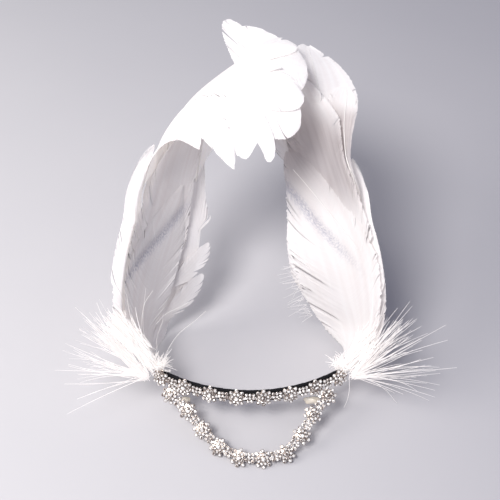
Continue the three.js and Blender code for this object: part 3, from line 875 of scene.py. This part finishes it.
def add_vane_side(parts, feather, sign, length, rng):
    """One side of a vane: clumps of barbs that slant forward from the shaft and part between clumps."""
    barbs = int(length / BARB_PITCH)
    splits = feather.plan["splits"][0 if sign < 0 else 1]
    loose = feather.plan.get("loose", 0)
    gather = feather.plan.get("gather", USUAL_GATHER) + loose
    # The vane stays whole over its first fifth and its last few barbs.
    parting = (barbs // 5, barbs - 4)
    cuts = np.sort(rng.choice(np.arange(*parting), splits, replace=False))
    v = np.linspace(0, 1, BARB_STEPS + 1)[None, :] ** EDGE_STEPS
    for first, last in zip([0, *cuts], [*cuts, barbs]):
        index = np.arange(first, last + 1)
        root = (FIRST_BARB + BARB_RUN * index / barbs)[:, None]
        lean = BARB_SLANT * np.minimum(1, (1 - root) / SLANT_FADE)
        u = root + lean * v ** BARB_CURVE
        u = u + (u.mean(axis=0, keepdims=True) - u) * gather * v ** 4
        u = u + rng.normal(0, CLUMP_SHIFT) * v ** 3
        spread = rng.normal(0, CLUMP_REACH) if splits else 0
        reach = 1 + spread + rng.normal(0, BARB_REACH, (len(index), 1))
        raised = rng.normal(0, CLUMP_LIFT * (1 + LOOSE_LIFT * loose)) if splits else 0
        lift = raised * v ** 3 + rng.normal(0, BARB_LIFT, (len(index), 1)) * v
        w = sign * v * reach * feather.notched(sign, u[:, -1:])
        along = np.broadcast_to(root * length, u.shape)
        across = np.broadcast_to(sign * v * BARB_UV_LENGTH, u.shape)
        vane_uv = np.stack([along, across], axis=-1)
        parts.add_grid(feather.at(u, w, lift), vane_uv, feather.valley(u, w), feather.dusk(u, w))


def tube(paths, reference, radii, sides):
    """Points of a tapering tube along each path, ring after ring, turned by a reference direction."""
    ahead = unit(np.gradient(paths, axis=-2))
    side = unit(np.cross(ahead, reference))
    other = np.cross(side, ahead)
    angle = np.linspace(0, 2 * math.pi, sides, endpoint=False)[:, None]
    ring = side[..., None, :] * np.cos(angle) + other[..., None, :] * np.sin(angle)
    return paths[..., None, :] + ring * radii[:, None, None]


def feather_piece(name, strip, plan, seed, materials):
    """One feather as a mesh of its vane and shaft, with its crease and crown-shade masks for painted shade
    kept for each point.
    """
    rng = np.random.default_rng(seed)
    feather = Feather(strip, plan)
    u = np.linspace(0, SHAFT_END, SHAFT_STEPS)
    shaft_lift = CROWN_SHAFT_LIFT if plan["root"][0] > CROWN_ROOTS else SHAFT_LIFT
    shaft_line = feather.at(u, np.zeros_like(u), shaft_lift)
    length = np.linalg.norm(np.diff(shaft_line, axis=0), axis=1).sum()
    parts = MeshParts()
    add_vane_side(parts, feather, -1, length, rng)
    add_vane_side(parts, feather, 1, length, rng)
    vane_faces = len(parts.faces)
    rings = tube(shaft_line, SHAFT_REFERENCE, np.linspace(*SHAFT_RADII, SHAFT_STEPS), SHAFT_SIDES)
    along = np.broadcast_to((u * length)[:, None], rings.shape[:2])
    plain = np.zeros(rings.shape[:2])
    parts.add_grid(rings, np.stack([along, plain], axis=-1), plain, plain, around=True)
    piece = mesh_piece(name, np.vstack(parts.points), parts.faces, materials[0], np.vstack(parts.uvs))
    piece.data.materials.append(materials[1])
    shaft_face = np.arange(len(parts.faces)) >= vane_faces
    piece.data.polygons.foreach_set("material_index", shaft_face.astype(int))
    for shade_name, values in zip(("valley", "dusk"), np.vstack(parts.shade_masks).T):
        tone = piece.data.attributes.new(shade_name, "FLOAT", "POINT")
        tone.data.foreach_set("value", np.ascontiguousarray(values))
    return piece


def end_feather_material(paint, shader):
    """Ends a material that lets a share of the light through."""
    glow = paint.node("BsdfTranslucent", {}, {"Color": (*GLOW_COLOUR, 1)})
    end_material(paint, paint.node("MixShader", {}, {"Fac": FEATHER_GLOW, 1: shader, 2: glow}))


def vane_material(name, painted_glow):
    """White vane with fine streaks and painted shade of soft folds, its crease and the crown's shade, and
    a painted glow.
    """
    material, paint = start_material(name)
    uv = paint.node("TexCoord", output="UV")
    streak = uv.stretched(*STREAK_SCALES).noise(1, 3)
    speckle = uv.stretched(*SPECKLE_SCALES).noise(1, 4)
    painted_fold_shade = uv.stretched(*FOLD_SHADE_SCALES).noise(1, 1)
    valley = paint.node("Attribute", {"attribute_name": "valley"}, output="Fac")
    dusk = paint.node("Attribute", {"attribute_name": "dusk"}, output="Fac")
    # Fine streaks are the barbs' own tone; the broad soft streaks are painted shade of soft folds.
    fold_shaded_white = (0.5 * streak + 1.6 * painted_fold_shade - 0.55).mix(*FEATHER_COLOURS)
    # Painted shade: the crown's shade dulls the white to beige, and the crease gets a speckled blue shade.
    dusk_shaded_white = (dusk * (0.3 + 0.9 * painted_fold_shade)).blend(fold_shaded_white, (*DUSK_PAINTED_SHADE, 1))
    vane_colour = (valley * (3.2 * speckle - 1.1)).blend(dusk_shaded_white, (*VALLEY_PAINTED_SHADE, 1))
    bump = paint.node("Bump", {}, {"Strength": 0.3, "Distance": 0.0004, "Height": streak})
    # The emission at the given strength is a painted glow.
    shader = paint.node("BsdfPrincipled", {}, {
        "Base Color": vane_colour, "Roughness": 0.62, "Specular IOR Level": 0.3, "Normal": bump,
        "Sheen Weight": 0.15, "Sheen Roughness": 0.4,
        "Emission Color": vane_colour, "Emission Strength": painted_glow,
    })
    end_feather_material(paint, shader)
    return material


white_vane = vane_material("white feather vane", 0.0)
painted_glow_vane = vane_material("feather vane with painted glow", PAINTED_GLOW_STRENGTH)

pale_shaft, paint = start_material("pale feather shaft")
grain = paint.node("TexCoord", output="UV").stretched(*GRAIN_SCALES).noise(1, 2)
shaft_shader = paint.node("BsdfPrincipled", {}, {
    "Base Color": grain.mix(*SHAFT_COLOURS), "Roughness": 0.4,
})
end_material(paint, shaft_shader)

for wing in WINGS:
    strip = WingStrip(wing)
    for number, plan in enumerate(LEG_FEATHERS + wing["feathers"]):
        name = f"{wing['name']}_{plan['name']}"
        # Feathers marked for it get the vane with a painted glow.
        vane = painted_glow_vane if plan.get("painted_glow", False) else white_vane
        seed = wing["seed"] + number
        piece = feather_piece(f"{name}_vane", strip, plan, seed, (vane, pale_shaft))
        dress(piece, "feather", f"{name}_feather")


# Plumes: tufts of stripped barbs, stiff and fine as bristles, tied at the wing roots and fanned out
# in small bunches. Short down hides the knot and the ends of the band.
PLUME_PLACE = np.array([60.5, -15.5, 29])
PLUME_UPWARD = np.array([0, 0.55, 0.83])
PLUME_FORWARD = np.array([0, -0.83, 0.55])
PLUME_STEPS = 10
PLUME_LENGTH = 52
BUNCHES = {
    "left": (
        {"count": 14, "middle": 0.9, "spread": 0.13, "most": 12, "shortest": 0.72},
        {"count": 16, "middle": 0.16, "spread": 0.3, "most": 2, "shortest": 0.75},
    ),
    "right": (
        {"count": 17, "middle": 0.82, "spread": 0.2, "most": 8, "shortest": 0.75},
        {"count": 11, "middle": 0.08, "spread": 0.22, "most": 3, "shortest": 0.75},
    ),
}
FEWEST_BARBS = 2
BUNCH_SPREAD = 0.035
BUNCH_LENGTHS = (0.82, 1)
PLUME_SCATTER = 0.12
PLUME_ROOT_SPREAD = 1.1
PLUME_BEND = 5.0
PLUME_DROOP = np.array([0, 0, 2])
PLUME_RADII = (0.22, 0.09)
PLUME_LOWEST = 0.4
TUFT_BARBS = {"left": 520, "right": 260}
TUFT_FOOT = np.array([57.5, -9, 29])
TUFT_TOP = np.array([62, -1, 40])
TUFT_MIDDLE = 0.9
TUFT_SPREAD = 0.1
TUFT_LENGTHS = {"left": (14, 42), "right": (8, 26)}
TUFT_SCATTER = 0.1
TUFT_ROOT_SPREAD = 1.3
TUFT_BEND = 1.6
TUFT_TOP_SHORTER = 0.4
TUFT_RADII = (0.5, 0.12)
DOWN_PLACE = np.array([55.5, -8, 28])
DOWN_SPREAD = np.array([3.0, 1.5, 1.0])
DOWN_AIM = np.array([-0.2, 0.2, 0.5])
DOWN_BARBS = 130
DOWN_SCATTER = 0.55
DOWN_BEND = 2
DOWN_LENGTHS = (3, 8)
DOWN_RADII = (0.3, 0.08)
STRAND_SIDES = 3
STRAND_TAPER = 0.6
STRAND_UV_STEP = 7.3
BARB_TONE_SCALES = (0.37, 0.3)
PLUME_SEED = 300
# A painted glow, standing in for the light that the fine barbs pass on to one another, which the single
# strands can't.
BARB_PAINTED_GLOW = 0.32
BARB_GLOW_COLOUR = (1, 0.98, 0.97)


def strand_piece(name, groups, material, rng):
    """Fine tapering strands as one mesh, from groups of paths with the radii at root and tip."""
    points, faces, uvs = [], [], []
    count = 0
    for paths, (root_radius, tip_radius) in groups:
        strands, steps = paths.shape[:2]
        reference = unit(rng.normal(0, 1, (strands, 1, 3)))
        taper = tip_radius + (root_radius - tip_radius) * np.linspace(1, 0, steps) ** STRAND_TAPER
        points.append(tube(paths, reference, taper, STRAND_SIDES).reshape(-1, 3))
        for _ in range(strands):
            faces += grid_faces(steps, STRAND_SIDES, count, around=True)
            count += steps * STRAND_SIDES
        number = np.arange(strands)[:, None, None] * STRAND_UV_STEP
        along = np.arange(steps)[None, :, None] * np.ones(STRAND_SIDES)
        uvs.append(np.stack(np.broadcast_arrays(number, along), axis=-1).reshape(-1, 2))
    return mesh_piece(name, np.vstack(points), faces, material, np.vstack(uvs))


def strand_paths(roots, directions, lengths, bends):
    """Paths of strands that leave their roots straight and bend toward their tips."""
    t = np.linspace(0, 1, PLUME_STEPS)[None, :, None]
    return roots[:, None] + directions[:, None] * lengths[:, None, None] * t + bends[:, None] * t ** 2


def fan_direction(side, angle, forward):
    """Direction in a plume's fan: angle above the outward line, forward of the fan's plane."""
    outward = np.array([side, 0, 0])
    return unit(outward * np.cos(angle)[:, None] + PLUME_UPWARD * np.sin(angle)[:, None]
                + PLUME_FORWARD * forward[:, None])


def plume_paths(name, side, rng):
    """The long barbs of a fan, in bunches, which bend where they meet the table."""
    angles, forwards, lengths = [], [], []
    for bunch in BUNCHES[name]:
        for _ in range(bunch["count"]):
            members = rng.integers(FEWEST_BARBS, bunch["most"] + 1)
            middle = rng.normal(bunch["middle"], bunch["spread"])
            angles.append(middle + rng.normal(0, BUNCH_SPREAD, members))
            forwards.append(rng.normal(0, PLUME_SCATTER) + rng.normal(0, BUNCH_SPREAD, members))
            longest = rng.uniform(bunch["shortest"], 1)
            lengths.append(PLUME_LENGTH * longest * rng.uniform(*BUNCH_LENGTHS, members))
    angle, forward, length = (np.concatenate(values) for values in (angles, forwards, lengths))
    roots = PLUME_PLACE * np.array([side, 1, 1]) + rng.normal(0, PLUME_ROOT_SPREAD, (len(angle), 3))
    bends = rng.normal(0, PLUME_BEND, (len(angle), 3)) - PLUME_DROOP
    paths = strand_paths(roots, fan_direction(side, angle, forward), length, bends)
    paths[..., 2] = np.maximum(paths[..., 2], PLUME_LOWEST)
    return paths


def tuft_paths(name, side, rng):
    """The thick white wedge of shorter barbs in the upper part of the fan."""
    count = TUFT_BARBS[name]
    angle = rng.normal(TUFT_MIDDLE, TUFT_SPREAD, count)
    direction = fan_direction(side, angle, rng.normal(0, TUFT_SCATTER, count))
    back = rng.random((count, 1))
    start = (1 - back) * TUFT_FOOT + back * TUFT_TOP
    roots = start * np.array([side, 1, 1]) + rng.normal(0, TUFT_ROOT_SPREAD, (count, 3))
    lengths = rng.uniform(*TUFT_LENGTHS[name], count) * (1 - TUFT_TOP_SHORTER * back[:, 0])
    return strand_paths(roots, direction, lengths, rng.normal(0, TUFT_BEND, (count, 3)))


def down_paths(side, rng):
    """Short down over the end of the band."""
    mirror = np.array([side, 1, 1])
    roots = DOWN_PLACE * mirror + rng.normal(0, 1, (DOWN_BARBS, 3)) * DOWN_SPREAD
    direction = unit(DOWN_AIM * mirror + rng.normal(0, DOWN_SCATTER, (DOWN_BARBS, 3)))
    lengths = rng.uniform(*DOWN_LENGTHS, DOWN_BARBS)
    return strand_paths(roots, direction, lengths, rng.normal(0, DOWN_BEND, (DOWN_BARBS, 3)))


barb, paint = start_material("white barbs")
tone = paint.node("TexCoord", output="UV").stretched(*BARB_TONE_SCALES).noise(1, 1)
# The barbs' emission is a painted glow.
barb_shader = paint.node("BsdfPrincipled", {}, {
    "Base Color": tone.mix(*FEATHER_COLOURS), "Roughness": 0.5, "Sheen Weight": 0.2,
    "Emission Color": (*BARB_GLOW_COLOUR, 1), "Emission Strength": BARB_PAINTED_GLOW,
})
end_feather_material(paint, barb_shader)

for wing in WINGS:
    name, side = wing["name"], wing["side"]
    rng = np.random.default_rng(PLUME_SEED + side)
    groups = [
        (plume_paths(name, side, rng), PLUME_RADII),
        (tuft_paths(name, side, rng), TUFT_RADII),
        (down_paths(side, rng), DOWN_RADII),
    ]
    plume = strand_piece(f"{name}_plume_barbs", groups, barb, rng)
    dress(plume, "feather", f"{name}_plume")


# Stray hairs: single long barbs that have come free at the wing roots and along the far edges. They
# lie on the inner faces, or stand out from them with their roots still held.
FACE_HAIRS = (
    {"side": -1, "lift": -8.3, "line": [[0.9, 0.32], [1.65, 0.2], [2.4, 0.12], [3.25, 0.06]]},
    {"side": -1, "lift": -8.3, "line": [[0.8, 0.36], [1.7, 0.33], [2.7, 0.35], [3.4, 0.35]]},
    {"side": -1, "lift": -8.4,
     "line": [[0.7, 0.42], [1.5, 0.38], [2.27, 0.37], [2.88, 0.35], [3.33, 0.44]]},
    {"side": -1, "lift": -8.3, "line": [[0.8, 0.52], [1.3, 0.6], [2.23, 0.66], [2.65, 0.63]]},
    {"side": 1, "lift": -6.3, "line": [[6.75, 0.83], [5.93, 0.63], [5.05, 0.38], [4.5, 0.25]]},
)
FREE_HAIRS = (
    [[-55, -6, 23], [-45.6, 16.3, 24], [-33.9, 29.3, 24], [-28, 38, 22]],
    [[-58, 24, 27], [-52.8, 32.5, 26], [-43.3, 40.4, 24], [-36.1, 47.7, 22]],
    [[58, -16, 29], [58, -22, 24], [57.5, -23, 14], [56.6, -22, 5]],
)
HAIR_STEPS = 16
HAIR_RADII = (0.18, 0.1)
FRINGE_HAIRS = 44
FRINGE_STATIONS = (2.7, 4.3)
FRINGE_DRIFT = 0.1
FRINGE_SHARE = 0.92
FRINGE_REACH = (0.05, 0.15)
FRINGE_LIFT = -5
FRINGE_SCATTER = 2
FRINGE_RADII = (0.09, 0.04)
HAIR_SEED = 400


def hair_line(points):
    """Path of a hair on a smooth curve through a few points."""
    return catmull(points, np.linspace(0, len(points) - 1, HAIR_STEPS))


rng = np.random.default_rng(HAIR_SEED)
strips = {wing["side"]: WingStrip(wing) for wing in WINGS}
hairs = [hair_line(points) for points in FREE_HAIRS]
for hair in FACE_HAIRS:
    line = hair_line(hair["line"])
    hairs.append(strips[hair["side"]].at(line[:, 0], line[:, 1], np.full(HAIR_STEPS, hair["lift"])))
t = np.linspace(0, 1, HAIR_STEPS)[None, :]
root_station = rng.uniform(*FRINGE_STATIONS, FRINGE_HAIRS)[:, None]
station = root_station + rng.normal(0, FRINGE_DRIFT, (FRINGE_HAIRS, 1)) * t
share = FRINGE_SHARE + rng.uniform(*FRINGE_REACH, FRINGE_HAIRS)[:, None] * t
lift = FRINGE_LIFT + rng.normal(0, FRINGE_SCATTER, (FRINGE_HAIRS, 1)) * t
fringe = strips[1].at(station, share, lift)
hair_groups = [(np.array(hairs), HAIR_RADII), (fringe, FRINGE_RADII)]
stray_hairs = strand_piece("stray_hairs", hair_groups, barb, rng)
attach(stray_hairs, "root")
